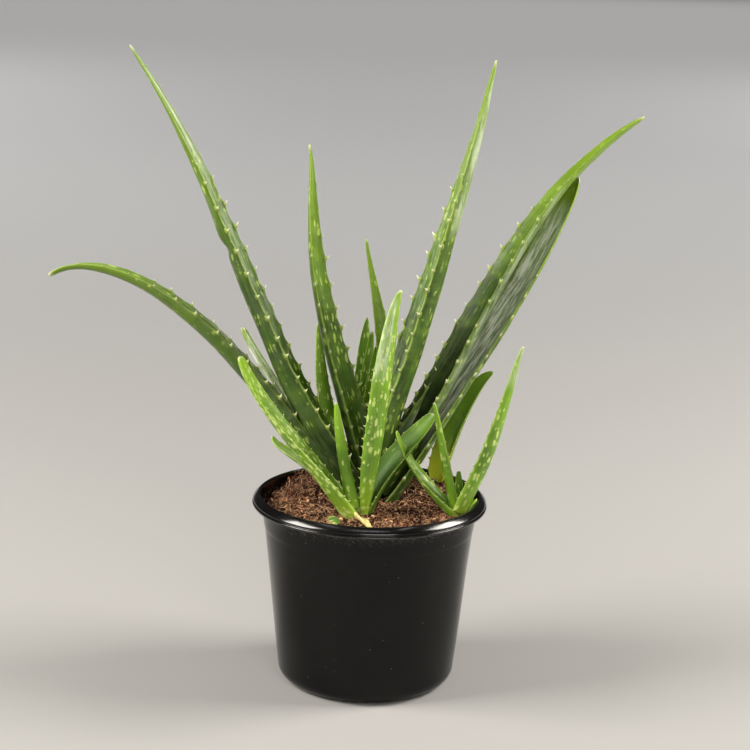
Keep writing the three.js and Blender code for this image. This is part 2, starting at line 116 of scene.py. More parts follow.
# Mounds and hollows of the soil: height, place and spread
MOUNDS = [(9, -30, 38, 22, 17), (5, 36, 38, 17, 15), (1.2, -20, -35, 18, 12), (-1.2, 25, -30, 20, 15)]

# Noise of the soil's surface: how fine each of its sizes is, and the layer that it is taken from
CRUMBLE_LAYERS = [(0.09, 3.0), (0.24, 9.0), (0.75, 17.0), (1.5, 31.0)]

# Loose crumbs and coir threads: counts, seeds and sizes
CRUMB_COUNT = 9000
STRAY_CRUMBS = 260
CRUMB_SEED = 11
CRUMB_CORNERS = 12
CRUMB_LEAST = 0.3
CRUMB_RANGE = 1.1
STRAY_LEAST = 0.25
STRAY_RANGE = 0.4
STRAY_REACH = 3.0
PALE_CRUMBS = 0.05
FIBRE_COUNT = 3200
FIBRE_SEED = 23
FIBRE_STEPS = 7
FIBRE_LEAST = 2.5
FIBRE_RANGE = 9
FIBRE_BEND = 6.5

# Leaves, in shares and millimetres
LEAF_STEP = 1.2
SECTION_HALF = 16
BASE_FOLD_REACH = 0.1
THICKNESS_POWER = 0.8
BLUNT_REACH = 25
SLOPE_STEP = 0.001
LEAF_SEED = 400
TIP_STEPS = (0.6, 0.3, 0.12, 0.03)
# Faint painted sheen that every leaf gets all over
LEAST_PAINTED_SHEEN = 0.03
WHOLE = (-1.2, 1.2)
TOOTH_SIDES = 8
TOOTH_HOOK = 0.5
UPPER = 0
LOWER = 1

# Places round a leaf's section, as shares of its half width: the upper face, then the lower one back
ACROSS = -np.cos(np.pi * np.arange(SECTION_HALF + 1) / SECTION_HALF)
SECTION = np.concatenate([ACROSS, ACROSS[-2:0:-1]])
IS_LOWER = np.concatenate([np.zeros(SECTION_HALF + 1), np.ones(SECTION_HALF - 1)])

# How far apart the skins of two leaves, and of a leaf's two faces, lie in the pattern of spots and streaks
LEAF_OFFSET = 97
FACE_OFFSET = 60


# Helpers for meshes

def add_object(name, data):
    """A new object in the scene."""
    added = bpy.data.objects.new(name, data)
    bpy.context.scene.collection.objects.link(added)
    return added


def add_piece(name, verts, faces, material, attributes, replaced=()):
    """A smooth-shaded piece that rides on the body, from vertices in millimetres."""
    mesh = bpy.data.meshes.new(name)
    mesh.from_pydata([tuple(v) for v in np.asarray(verts, dtype=float) * MM], [], faces)
    for key, values in attributes.items():
        layer = mesh.attributes.new(key, "FLOAT", "POINT")
        layer.data.foreach_set("value", np.asarray(values, dtype=np.float32))
    mesh.materials.append(material)
    mesh.shade_smooth()
    mesh.update()
    piece = add_object(name, mesh)
    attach(piece, BODY)
    if replaced:
        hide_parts(*replaced)
    return piece


def merge_points(piece):
    """Joins the vertices of one mesh that share a place."""
    shell = bmesh.new()
    shell.from_mesh(piece.data)
    bmesh.ops.remove_doubles(shell, verts=shell.verts, dist=MERGE_DISTANCE)
    shell.to_mesh(piece.data)
    shell.free()


def ring_faces(rings, sides, offset=0):
    """Quads between consecutive rings of vertices."""
    faces = []
    for i in range(rings - 1):
        for j in range(sides):
            here = offset + i * sides + j
            right = offset + i * sides + (j + 1) % sides
            faces.append((here, right, right + sides, here + sides))
    return faces


def fan(first, sides, hub, flip=False):
    """Triangles between a ring of vertices and one more vertex that closes it."""
    faces = []
    for side in range(sides):
        face = (first + side, first + (side + 1) % sides, hub)
        faces.append(face[::-1] if flip else face)
    return faces


def circle(sides):
    """Cosine and sine of directions spread evenly round a circle."""
    angles = [2 * math.pi * side / sides for side in range(sides)]
    return [(math.cos(angle), math.sin(angle)) for angle in angles]


def smoothstep(low, high, value):
    share = np.clip((value - low) / (high - low), 0, 1)
    return share * share * (3 - 2 * share)


# Helpers for materials

class Nodes:
    """Short calls for building one material's node tree."""

    def __init__(self, name):
        self.material = bpy.data.materials.new(name)
        self.material.use_nodes = True
        self.tree = self.material.node_tree
        self.shader = self.tree.nodes["Principled BSDF"]

    def put(self, socket, value):
        if isinstance(value, bpy.types.NodeSocket):
            self.tree.links.new(value, socket)
        else:
            socket.default_value = value

    def add(self, kind, inputs, output, **settings):
        """Adds one node, fills in its settings and inputs, and gives one of its outputs."""
        node = self.tree.nodes.new("ShaderNode" + kind)
        for key, value in settings.items():
            setattr(node, key, value)
        for key, value in inputs.items():
            self.put(node.inputs[key], value)
        return node.outputs[output]

    def attribute(self, name):
        return self.add("Attribute", {}, "Fac", attribute_name=name)

    def position(self):
        return self.add("TexCoord", {}, "Object")

    def math(self, operation, a, b, clamp=False):
        return self.add("Math", {0: a, 1: b}, 0, operation=operation, use_clamp=clamp)

    def times(self, a, b):
        return self.math("MULTIPLY", a, b)

    def plus(self, a, b):
        return self.math("ADD", a, b)

    def minus(self, a, b):
        return self.math("SUBTRACT", a, b)

    def step(self, value, low, high, out_low=0, out_high=1):
        ends = {"Value": value, "From Min": low, "From Max": high, "To Min": out_low, "To Max": out_high}
        return self.add("MapRange", ends, "Result", interpolation_type="SMOOTHSTEP")

    def vector(self, x, y):
        return self.add("CombineXYZ", {0: x, 1: y}, 0)

    def noise(self, vector, scale, detail, roughness=0.5):
        looks = {"Vector": vector, "Scale": scale, "Detail": detail, "Roughness": roughness}
        return self.add("TexNoise", looks, "Fac")

    def cells(self, vector, scale, randomness=1, dimensions="3D"):
        looks = {"Vector": vector, "Scale": scale, "Randomness": randomness}
        distance = self.add("TexVoronoi", looks, "Distance", voronoi_dimensions=dimensions)
        return distance, distance.node.outputs["Color"]

    def channel(self, colour, index):
        return self.add("SeparateColor", {0: colour}, index)

    def mix(self, factor, a, b, blend="MIX"):
        return self.add("Mix", {0: factor, 6: a, 7: b}, 2, data_type="RGBA", blend_type=blend)

    def bump(self, height, strength, distance):
        return self.add("Bump", {"Height": height, "Strength": strength, "Distance": distance}, "Normal")

    def feed(self, name, value):
        """Sets one of the shader's own inputs to a constant, or links it to a node."""
        self.put(self.shader.inputs[name], value)


class Skin(Nodes):
    """Node tree of a leaf's skin, with noise laid out in millimetres across and along the leaf."""

    def __init__(self, name):
        super().__init__(name)
        self.along = self.attribute("along")
        self.across = self.attribute("across")
        self.share = self.attribute("share")

    def grain(self, across_scale, along_scale, detail, roughness=0.5):
        place = self.vector(self.times(self.across, across_scale), self.times(self.along, along_scale))
        return self.noise(place, 1, detail, roughness)


def colour(red, green, blue):
    """sRGB values from 0 to 255 as a linear colour."""
    linear = []
    for value in (red, green, blue):
        share = value / 255
        linear.append(share / 12.92 if share <= 0.04045 else ((share + 0.055) / 1.055) ** 2.4)
    return (*linear, 1)


# Materials

# Near-white painted on the leaves where light glints off their wax: a painted sheen
PAINTED_SHEEN_WHITE = colour(236, 243, 226)
TOOTH_HORN = colour(240, 236, 198)
PLASTIC_BLACK = colour(8, 7, 6)
PLASTIC_WORN = colour(18, 16, 14)
POT_DUST = colour(130, 120, 106)
WATER_MARK = colour(120, 116, 108)
COIR_PALE = colour(250, 196, 150)
COIR_BROWN = colour(126, 66, 38)
COIR_DARK = colour(20, 9, 6)

# Pale spots of a leaf: how strongly they show, and how far their sizes differ
SPOT_STRENGTH = 0.78
SPOT_SIZE_RANGE = 0.26

# Heights in millimetres between which water marks fade in below the lip and end on it
MARKS_BELOW = (94, 100.5)
MARKS_ABOVE = (102.6, 101.2)


def leaf_greens(skin, bands, body, dark, tip, heel, heel_reach, spot):
    """Broad patches, bands and streaks of green that change towards the tip and the heel."""
    broad = skin.grain(0.06, 0.035, 3)
    streaks = skin.grain(1.5, 0.05, 4, 0.6)
    green = skin.mix(skin.step(broad, 0.3, 0.7), dark, body)
    green = skin.mix(skin.step(bands, 0.4, 0.7, 0, 0.3), green, tip)
    green = skin.mix(skin.step(skin.share, 0.4, 1, 0, 0.9), green, tip)
    green = skin.mix(skin.step(skin.share, 0, heel_reach, 0.95, 0), green, heel)
    green = skin.mix(skin.step(streaks, 0.35, 0.8, 0, 0.14), green, spot)
    # A lower tone darkens the whole leaf towards dark green: partly the leaf's own colour, partly painted
    # shade set leaf by leaf for how each lies in the light
    return skin.mix(skin.step(skin.attribute("tone"), 0, 1, 0.85, 0), green, dark)


def leaf_spots(skin, bands, shade, spots_across, spots_along, spot_size):
    """Oval spots with ragged soft edges, crowded into bands and fewer towards the tip."""
    warp = skin.grain(0.3, 0.16, 2)
    bent_across = skin.plus(skin.times(skin.across, spots_across), skin.times(warp, 0.9))
    bent_along = skin.plus(skin.times(skin.along, spots_along), skin.times(warp, 0.8))
    distance, cell = skin.cells(skin.vector(bent_across, bent_along), 1, 0.8, "2D")
    crowding = skin.times(skin.attribute("specks"), skin.step(bands, 0.36, 0.6, 0.5, 1.3))
    fade = skin.step(skin.share, 0.6, 1, 1, 0.5)
    likely = skin.minus(skin.times(crowding, fade), skin.channel(cell, 0))
    present = skin.step(likely, -0.05, 0.2, 0, SPOT_STRENGTH)
    size = skin.step(skin.channel(cell, 1), 0, 1, spot_size, spot_size + SPOT_SIZE_RANGE)
    ragged = skin.times(skin.minus(skin.grain(2.4, 0.5, 2), 0.5), 0.3)
    shape = skin.step(skin.plus(skin.minus(distance, size), ragged), 0.07, -0.12)
    return skin.times(skin.times(shape, present), shade)


def leaf_material(name, body, dark, tip, heel, spot, rim, heel_reach=0.22,
                  spots_across=0.52, spots_along=0.15, spot_size=0.12):
    """Waxy skin: greens, pale spots, painted shade in stretches, a painted whitish sheen, a pale rim and
    whitish teeth.
    """
    skin = Skin(name)
    bloom = skin.attribute("bloom")
    shade = skin.attribute("shade")
    bands = skin.grain(0.05, 0.14, 2)
    green = leaf_greens(skin, bands, body, dark, tip, heel, heel_reach, spot)
    spots = leaf_spots(skin, bands, shade, spots_across, spots_along, spot_size)
    green = skin.mix(spots, green, spot)
    # Painted shade: the green darkened where the shade strips lie
    green = skin.mix(shade, skin.mix(0.9, green, dark, "MULTIPLY"), green)
    # Painted sheen: near-white laid over the green in streaks, strongest where the sheen strips lie
    film = skin.step(skin.grain(0.5, 0.045, 5, 0.7), 0.42, 0.58, 0.2, 1)
    green = skin.mix(skin.times(bloom, film), green, PAINTED_SHEEN_WHITE)
    green = skin.mix(skin.step(skin.attribute("margin"), 0.03, 0.35, 0.5, 0), green, rim)
    skin.feed("Base Color", skin.mix(skin.attribute("tooth"), green, TOOTH_HORN))

    worn = skin.grain(0.4, 0.14, 5, 0.65)
    matt = skin.times(skin.math("SUBTRACT", 1, shade, clamp=True), 0.35)
    skin.feed("Roughness", skin.plus(skin.step(worn, 0.3, 0.7, 0.26, 0.38), matt))
    waxy = skin.plus(skin.step(shade, 0, 1, 0.06, 0.3), skin.times(bloom, 0.6))
    skin.feed("Specular IOR Level", waxy)
    skin.feed("Subsurface Weight", 0.1)
    skin.feed("Subsurface Radius", (0.5, 1, 0.15))
    skin.feed("Subsurface Scale", 0.0012)
    relief = skin.plus(skin.times(spots, 0.5), skin.plus(skin.grain(2.8, 0.3, 3), worn))
    skin.feed("Normal", skin.bump(relief, 0.4, 0.00015))
    return skin.material


def pot_material():
    """Moulded black plastic: uneven soft gloss, fine dust, and dry water marks under the lip."""
    nodes = Nodes("pot_plastic")
    place = nodes.position()
    height = nodes.attribute("height")
    patches = nodes.noise(place, 22, 4)
    distance, cell = nodes.cells(place, 420)
    dust = nodes.times(nodes.step(distance, 0.2, 0.08), nodes.step(nodes.channel(cell, 0), 0.95, 0.97))
    unrolled = nodes.vector(nodes.times(nodes.attribute("turn"), 1.1), nodes.times(height, 0.35))
    belt = nodes.times(nodes.step(height, *MARKS_BELOW), nodes.step(height, *MARKS_ABOVE))
    marks = nodes.times(nodes.step(nodes.noise(unrolled, 1, 5, 0.75), 0.5, 0.68, 0, 0.75), belt)
    film = nodes.noise(place, 60, 6, 0.7)
    base = nodes.mix(nodes.step(film, 0.45, 0.8), PLASTIC_BLACK, PLASTIC_WORN)
    base = nodes.mix(nodes.times(dust, 0.35), base, POT_DUST)
    nodes.feed("Base Color", nodes.mix(marks, base, WATER_MARK))
    nodes.feed("Roughness", nodes.plus(nodes.step(patches, 0.3, 0.7, 0.12, 0.19), nodes.times(marks, 0.4)))
    nodes.feed("Specular IOR Level", nodes.step(height, LIP_BOTTOM - 1, LIP_BOTTOM, 0.22, 0.6))
    relief = nodes.plus(nodes.noise(place, 1400, 2), nodes.times(patches, 2))
    nodes.feed("Normal", nodes.bump(relief, 0.1, 0.0002))
    return nodes.material


def soil_material():
    """Coir potting mix: each crumb and fibre has its own tone, over a ground of fine mottling."""
    nodes = Nodes("coir_mix")
    place = nodes.position()
    tone = nodes.attribute("tone")
    mottle = nodes.noise(place, 520, 5, 0.7)
    patch = nodes.noise(place, 60, 3)
    ground = nodes.mix(nodes.step(mottle, 0.35, 0.68), COIR_DARK, COIR_BROWN)
    ground = nodes.mix(nodes.step(patch, 0.35, 0.65, 0, 0.6), ground, COIR_DARK)
    ground = nodes.mix(nodes.step(tone, 0.5, 1, 0, 0.9), ground, COIR_PALE)
    ground = nodes.mix(nodes.step(tone, 0.45, 0, 0, 0.85), ground, COIR_DARK)
    nodes.feed("Base Color", ground)
    nodes.feed("Roughness", 0.9)
    nodes.feed("Specular IOR Level", 0.25)
    nodes.feed("Normal", nodes.bump(mottle, 0.8, 0.0006))
    return nodes.material


def plain_plant_material(name, base, second, roughness):
    """Dry or pale plant tissue: two tones in fine mottling."""
    nodes = Nodes(name)
    fibres = nodes.noise(nodes.position(), 350, 5, 0.65)
    nodes.feed("Base Color", nodes.mix(nodes.step(fibres, 0.35, 0.7), base, second))
    nodes.feed("Roughness", roughness)
    nodes.feed("Normal", nodes.bump(fibres, 0.4, 0.0004))
    return nodes.material


# The mother's heel green is darker than its body green: painted shade at the foot of the rosette
MOTHER_SKIN = leaf_material(
    "mother_leaf_green", colour(72, 110, 8), colour(34, 62, 2), colour(132, 168, 24), colour(44, 72, 4),
    colour(172, 194, 88), colour(160, 182, 84))
PUP_SKIN = leaf_material(
    "pup_leaf_green", colour(114, 160, 22), colour(72, 112, 6), colour(128, 170, 24), colour(146, 184, 38),
    colour(206, 222, 130), colour(176, 204, 92), spots_across=0.58, spots_along=0.19, spot_size=0.2)
SHOOT_SKIN = leaf_material(
    "shoot_leaf_green", colour(100, 138, 24), colour(74, 108, 16), colour(112, 152, 34), colour(204, 212, 44),
    colour(170, 190, 80), colour(172, 190, 80), heel_reach=0.42)
POT_PLASTIC = pot_material()
COIR = soil_material()
STEM_TISSUE = plain_plant_material("stem_tissue", colour(170, 176, 110), colour(120, 130, 70), 0.6)
WITHERED = plain_plant_material("withered_leaf", colour(236, 228, 160), colour(206, 186, 104), 0.7)


# Pot

def wall_radius(height):
    return WALL_FOOT_RADIUS + (WALL_TOP_RADIUS - WALL_FOOT_RADIUS) * height / WALL_TOP


def foot_round(radius, inset, steps=10):
    corner = wall_radius(FOOT_ROUND) - FOOT_ROUND
    points = []
    for i in range(steps + 1):
        angle = math.pi / 2 * i / steps
        points.append((corner + radius * math.sin(angle), FOOT_ROUND - radius * math.cos(angle) + inset))
    return points


def cut_corners(points, rounds):
    """Rounds the corners of an open outline, keeping its two ends."""
    for _ in range(rounds):
        cut = [points[0]]
        for (r0, z0), (r1, z1) in zip(points[:-1], points[1:]):
            for share in (CORNER_CUT, 1 - CORNER_CUT):
                cut.append(((1 - share) * r0 + share * r1, (1 - share) * z0 + share * z1))
        cut.append(points[-1])
        points = cut
    return points


def pot_outline():
    """Outline from the edge of the drain field underneath, over the lip, to the same edge inside."""
    lip = cut_corners([
        (wall_radius(STEP_HEIGHT - 4), STEP_HEIGHT - 4),
        (wall_radius(STEP_HEIGHT), STEP_HEIGHT),
        (wall_radius(STEP_HEIGHT) + STEP_OUT, STEP_HEIGHT + 0.8),
        (WALL_TOP_RADIUS + STEP_OUT, WALL_TOP),
        *((RIM_RADIUS + out, LIP_BOTTOM + up) for out, up in LIP_CORNERS),
        (RIM_RADIUS - 2.3, POT_HEIGHT - 0.4),
        (RIM_RADIUS - 3.3, POT_HEIGHT + 0.2),
        (LIP_INNER_RADIUS + 0.5, POT_HEIGHT + 0.1),
        (LIP_INNER_RADIUS - 0.1, POT_HEIGHT - 1.2),
        (LIP_INNER_RADIUS - 0.2, POT_HEIGHT - 3),
        (LIP_INNER_RADIUS - 0.6, POT_HEIGHT - 5.4),
        (WALL_TOP_RADIUS - WALL_THICKNESS + 0.4, WALL_TOP - 0.6),
        (wall_radius(STEP_HEIGHT) - WALL_THICKNESS, STEP_HEIGHT),
    ], 2)
    wall = [(wall_radius(height), height) for height in WALL_RING_HEIGHTS]
    return [
        (DRAIN_FIELD_OUTER, 0),
        *foot_round(FOOT_ROUND, 0),
        *wall,
        *lip,
        *foot_round(FOOT_ROUND - WALL_THICKNESS, FLOOR_THICKNESS - WALL_THICKNESS)[::-1],
        (DRAIN_FIELD_OUTER, FLOOR_THICKNESS),
    ]


def wall_wobble(angle, height):
    """How far the thin moulded wall strays from round at one place, in millimetres."""
    place = Vector((2.2 * math.cos(angle), 2.2 * math.sin(angle), height / 45))
    return WALL_WOBBLE * noise.noise(place) * smoothstep(2, 20, height)


def drain_sector(first, width):
    """Places round one sector of the floor, as radius and angle: along its rim, in, back and out again."""
    inner = DRAIN_FIELD_INNER
    outer = DRAIN_FIELD_OUTER
    sides = POT_SIDES // DRAIN_COUNT
    corners = [(outer, 0), (outer, 1), (inner, 1), (inner, 0), (outer, 0)]
    edge = []
    for k, steps in enumerate((sides, DRAIN_SPOKE_STEPS, sides, DRAIN_SPOKE_STEPS)):
        for i in range(steps):
            radius, turn = ((1 - i / steps) * a + i / steps * b for a, b in zip(corners[k], corners[k + 1]))
            edge.append((radius, first + width * turn))
    return edge


def drain_field(height, facing):
    """One face of the floor between two circles, with a round hole in each sector, as points and quads."""
    points = []
    quads = []
    width = 2 * math.pi / DRAIN_COUNT
    for sector in range(DRAIN_COUNT):
        first = width * sector
        edge = drain_sector(first, width)
        hole_x = DRAIN_CIRCLE * math.cos(first + width / 2)
        hole_y = DRAIN_CIRCLE * math.sin(first + width / 2)
        start = len(points)
        count = len(edge)
        rim = [(radius * math.cos(angle), radius * math.sin(angle)) for radius, angle in edge]
        points.extend((x, y, height) for x, y in rim)
        for x, y in rim:
            share = DRAIN_RADIUS / math.hypot(x - hole_x, y - hole_y)
            points.append((hole_x + share * (x - hole_x), hole_y + share * (y - hole_y), height))
        for i in range(count):
            after = (i + 1) % count
            quad = (start + i, start + after, start + count + after, start + count + i)
            quads.append(quad if facing > 0 else quad[::-1])
    return points, quads, count


def build_pot():
    """The pot's one closed skin: its outline turned round, its floor, and the walls of the drain holes."""
    outline = pot_outline()
    verts = []
    heights = []
    turns = []
    for radius, height in outline:
        for side in range(POT_SIDES):
            angle = 2 * math.pi * side / POT_SIDES
            reach = radius + wall_wobble(angle, height)
            sag = LIP_SAG * math.sin(2 * angle + 0.6) * smoothstep(90, 104, height)
            verts.append((reach * math.cos(angle), reach * math.sin(angle), height + sag))
            heights.append(height)
            turns.append(radius * angle)
    faces = ring_faces(len(outline), POT_SIDES)
    holes = []
    for height, facing in ((0, -1), (FLOOR_THICKNESS, 1)):
        points, quads, count = drain_field(height, facing)
        start = len(verts)
        verts.extend(points)
        faces.extend(tuple(start + i for i in quad) for quad in quads)
        holes.append(start)
        middle = len(verts)
        verts.append((0, 0, height))
        verts.extend((DRAIN_FIELD_INNER * x, DRAIN_FIELD_INNER * y, height) for x, y in circle(POT_SIDES))
        faces.extend(fan(middle + 1, POT_SIDES, middle, flip=facing < 0))
    for sector in range(DRAIN_COUNT):
        below = holes[0] + sector * 2 * count + count
        above = holes[1] + sector * 2 * count + count
        for i in range(count):
            after = (i + 1) % count
            faces.append((below + after, below + i, above + i, above + after))
    extra = len(verts) - len(heights)
    heights.extend([0.0] * extra)
    turns.extend([0.0] * extra)
    attributes = {"height": heights, "turn": turns}
    piece = add_piece("pot_body", verts, faces, POT_PLASTIC, attributes, ("pot",))
    merge_points(piece)


# Soil

def soil_height(x, y):
    """Height of the soil at one point with its mounds and hollows, in millimetres."""
    level = SOIL_LEVEL
    for height, centre_x, centre_y, spread_x, spread_y in MOUNDS:
        level += height * np.exp(-((x - centre_x) / spread_x) ** 2 - ((y - centre_y) / spread_y) ** 2)
    return level


def crumble(x, y):
    """Height of loose crumbs at one point, in millimetres, from four sizes of noise."""
    coarse, middle, fine, finest = (
        noise.noise(Vector((x * scale, y * scale, layer))) for scale, layer in CRUMBLE_LAYERS)
    return 1.4 * coarse + 1.8 * abs(middle) + 1.1 * fine + 0.6 * finest - 0.7


def build_soil():
    """The bed of soil: a crumbled top that dips at the pot's wall, and plain sides and bottom."""
    rings = int(SOIL_EDGE_RADIUS / SOIL_RING_STEP)
    verts = [(0, 0, soil_height(0, 0) + crumble(0, 0))]
    tones = [0.5]
    for ring in range(1, rings + 1):
        radius = SOIL_EDGE_RADIUS * ring / rings
        drop = SOIL_EDGE_DROP * smoothstep(SOIL_EDGE_RADIUS - 1.5, SOIL_EDGE_RADIUS, radius)
        for cosine, sine in circle(SOIL_SIDES):
            x = radius * cosine
            y = radius * sine
            bump = crumble(x, y)
            verts.append((x, y, soil_height(x, y) + bump - drop))
            # The lower the crumbled top lies, the darker its tone, and the higher, the paler: painted shade
            # in the hollows and painted light on the tops
            tones.append(0.3 + 0.2 * bump)
    floor = FLOOR_THICKNESS + CLEARANCE
    below = [
        (WALL_TOP_RADIUS - WALL_THICKNESS - CLEARANCE, SOIL_SHOULDER),
        (wall_radius(STEP_HEIGHT) - WALL_THICKNESS - CLEARANCE, STEP_HEIGHT),
        (wall_radius(FOOT_ROUND) - WALL_THICKNESS - CLEARANCE, FOOT_ROUND + 1),
        (wall_radius(FOOT_ROUND) - FOOT_ROUND, floor),
    ]
    for radius, height in below:
        verts.extend((radius * x, radius * y, height) for x, y in circle(SOIL_SIDES))
        tones.extend([0.4] * SOIL_SIDES)
    bottom = len(verts)
    verts.append((0, 0, floor))
    tones.append(0.4)
    total = rings + len(below)
    faces = [(a, d, c, b) for a, b, c, d in ring_faces(total, SOIL_SIDES, offset=1)]
    faces += fan(1, SOIL_SIDES, 0)
    faces += fan(1 + (total - 1) * SOIL_SIDES, SOIL_SIDES, bottom, flip=True)
    add_piece("soil_bed", verts, faces, COIR, {"tone": tones}, ("soil",))


def crumb_shape():
    """Corners and faces of a rough lump with twenty faces."""
    golden = (1 + math.sqrt(5)) / 2
    corners = []
    for a in (-1, 1):
        for b in (-golden, golden):
            corners += [(0, a, b), (a, b, 0), (b, 0, a)]
    corners = np.array(corners) / math.hypot(1, golden)
    edge = 2 / math.hypot(1, golden) * 1.01
    near = np.linalg.norm(corners[:, None] - corners[None], axis=2) < edge
    faces = []
    for i, j, k in combinations(range(CRUMB_CORNERS), 3):
        if near[i, j] and near[j, k] and near[i, k]:
            normal = np.cross(corners[j] - corners[i], corners[k] - corners[i])
            faces.append((i, j, k) if normal @ corners[i] > 0 else (i, k, j))
    return corners, faces


def soil_spot(random, reach):
    """A random place on the soil, evenly spread over its area."""
    radius = reach * math.sqrt(random.random())
    angle = 2 * math.pi * random.random()
    return radius * math.cos(angle), radius * math.sin(angle)


def random_turn(random):
    """A random rotation matrix."""
    return np.array(Quaternion(random.normal(size=4)).normalized().to_matrix())


def build_crumbs():
    """Lumps strewn over the soil, and a few small ones that cling inside the lip."""
    random = np.random.default_rng(CRUMB_SEED)
    corners, shape_faces = crumb_shape()
    verts = []
    faces = []
    tones = []
    for number in range(CRUMB_COUNT + STRAY_CRUMBS):
        if number < CRUMB_COUNT:
            x, y = soil_spot(random, SOIL_EDGE_RADIUS - 0.4)
            size = CRUMB_LEAST + CRUMB_RANGE * random.random() ** 3
            z = soil_height(x, y) + crumble(x, y) + 0.3 * size
        else:
            angle = 2 * math.pi * random.random()
            rise = random.random() ** 1.5
            size = STRAY_LEAST + STRAY_RANGE * random.random()
            radius = SOIL_EDGE_RADIUS - 0.2 + STRAY_REACH * rise
            x = radius * math.cos(angle)
            y = radius * math.sin(angle)
            z = WALL_TOP + 1.2 + (LIP_BOTTOM - WALL_TOP) * rise + 0.4 * size
        stretch = np.array([1.0, 0.5 + 0.5 * random.random(), 0.35 + 0.4 * random.random()]) * size
        lump = corners * (0.7 + 0.6 * random.random((CRUMB_CORNERS, 1))) * stretch
        lump = lump @ random_turn(random).T
        start = len(verts)
        verts.extend(lump + np.array([x, y, z]))
        faces.extend(tuple(start + i for i in face) for face in shape_faces)
        tone = 0.7 * random.random() ** 1.3
        if random.random() < PALE_CRUMBS:
            tone = 1.0
        tones.extend([tone] * CRUMB_CORNERS)
    piece = add_piece("soil_crumbs", verts, faces, COIR, {"tone": tones})
    piece.data.shade_flat()


def build_fibres():
    """Short curled coir threads that lie over and loop out of the crumbs."""
    random = np.random.default_rng(FIBRE_SEED)
    verts = []
    faces = []
    tones = []
    for _ in range(FIBRE_COUNT):
        x, y = soil_spot(random, SOIL_EDGE_RADIUS - 2)
        length = FIBRE_LEAST + FIBRE_RANGE * random.random() ** 1.6
        heading = 2 * math.pi * random.random()
        bend = FIBRE_BEND * (random.random() - 0.5)
        radius = 0.06 + 0.09 * random.random() ** 2
        arch = (0.4 + 2.0 * random.random() ** 2) * min(length / 5, 1)
        tone = 0.3 + 0.7 * random.random() ** 0.5
        start = len(verts)
        for i in range(FIBRE_STEPS + 1):
            share = i / FIBRE_STEPS
            turn = heading + bend * share
            side = np.array([-math.sin(turn), math.cos(turn), 0.0])
            z = soil_height(x, y) + crumble(x, y) + 0.2 + arch * math.sin(math.pi * share)
            thick = radius * (1 - 0.6 * abs(2 * share - 1) ** 3)
            centre = np.array([x, y, z])
            for cosine, sine in circle(3):
                verts.append(centre + side * thick * cosine + np.array([0, 0, thick * sine]))
                tones.append(tone)
            x += length / FIBRE_STEPS * math.cos(turn)
            y += length / FIBRE_STEPS * math.sin(turn)
            reach = math.hypot(x, y)
            if reach > SOIL_EDGE_RADIUS - 0.8:
                x *= (SOIL_EDGE_RADIUS - 0.8) / reach
                y *= (SOIL_EDGE_RADIUS - 0.8) / reach
        faces.extend(ring_faces(FIBRE_STEPS + 1, 3, offset=start))
        end = start + FIBRE_STEPS * 3
        faces.append((start, start + 2, start + 1))
        faces.append((end, end + 1, end + 2))
    add_piece("soil_fibres", verts, faces, COIR, {"tone": tones})


# Stems

STEM_SIDES = 24
STEM_RINGS = 24
STEM_RIPPLE = 0.12
STEM_ROUND_FROM = 0.85
STEM_ROUND_REACH = 0.16

# Each stem: its node, foot and head, and its radius at each
STEMS = [
    ("mother_stem", (-1, 18, 66), (-1, 17, 116), 6.5, 3.5),
    ("back_pup_stem", (-3, 41, 84), (-3, 42, 110), 3.6, 2.4),
    ("front_pup_stem", (-5, -13, 82), (-6, -15, 104.5), 3.6, 2.4),
    ("right_pup_stem", (47, -8, 86), (50.5, -8.7, 103), 2.4, 1.6),
    ("side_shoot_stem", (33, 34, 86), (38, 38, 106), 2.4, 1.6),
]


def build_stem(node, foot, head, radius, head_radius):
    """A short round stem with faint rings where old leaves sat, and a rounded top."""
    foot = np.array(foot, dtype=float)
    head = np.array(head, dtype=float)
    along = (head - foot) / np.linalg.norm(head - foot)
    first = np.cross(along, (0.0, 1.0, 0.0))
    first /= np.linalg.norm(first)
    second = np.cross(along, first)
    verts = [foot]
    for ring in range(STEM_RINGS):
        share = ring / (STEM_RINGS - 1)
        width = radius + (head_radius - radius) * share
        width += STEM_RIPPLE * math.sin(share * 40)
        width *= math.sqrt(max(1 - (max(share - STEM_ROUND_FROM, 0) / STEM_ROUND_REACH) ** 2, 0.05))
        centre = foot + (head - foot) * share
        for cosine, sine in circle(STEM_SIDES):
            verts.append(centre + width * (first * cosine + second * sine))
    verts.append(head)
    faces = ring_faces(STEM_RINGS, STEM_SIDES, offset=1)
    top = len(verts) - 1
    last = 1 + (STEM_RINGS - 1) * STEM_SIDES
    faces += fan(1, STEM_SIDES, 0, flip=True)
    faces += fan(last, STEM_SIDES, top)
    add_piece(node + "_fine", verts, faces, STEM_TISSUE, {}, (node,))


# Leaves

def bend_points(points, t):
    """Points on the bend that a leaf's centre line follows, by repeated halving of its control points."""
    t = np.asarray(t, dtype=float)[:, None]
    rows = [np.repeat(np.asarray(p, dtype=float)[None], len(t), 0) for p in points]
    while len(rows) > 1:
        rows = [a * (1 - t) + b * t for a, b in zip(rows[:-1], rows[1:])]
    return rows[0]


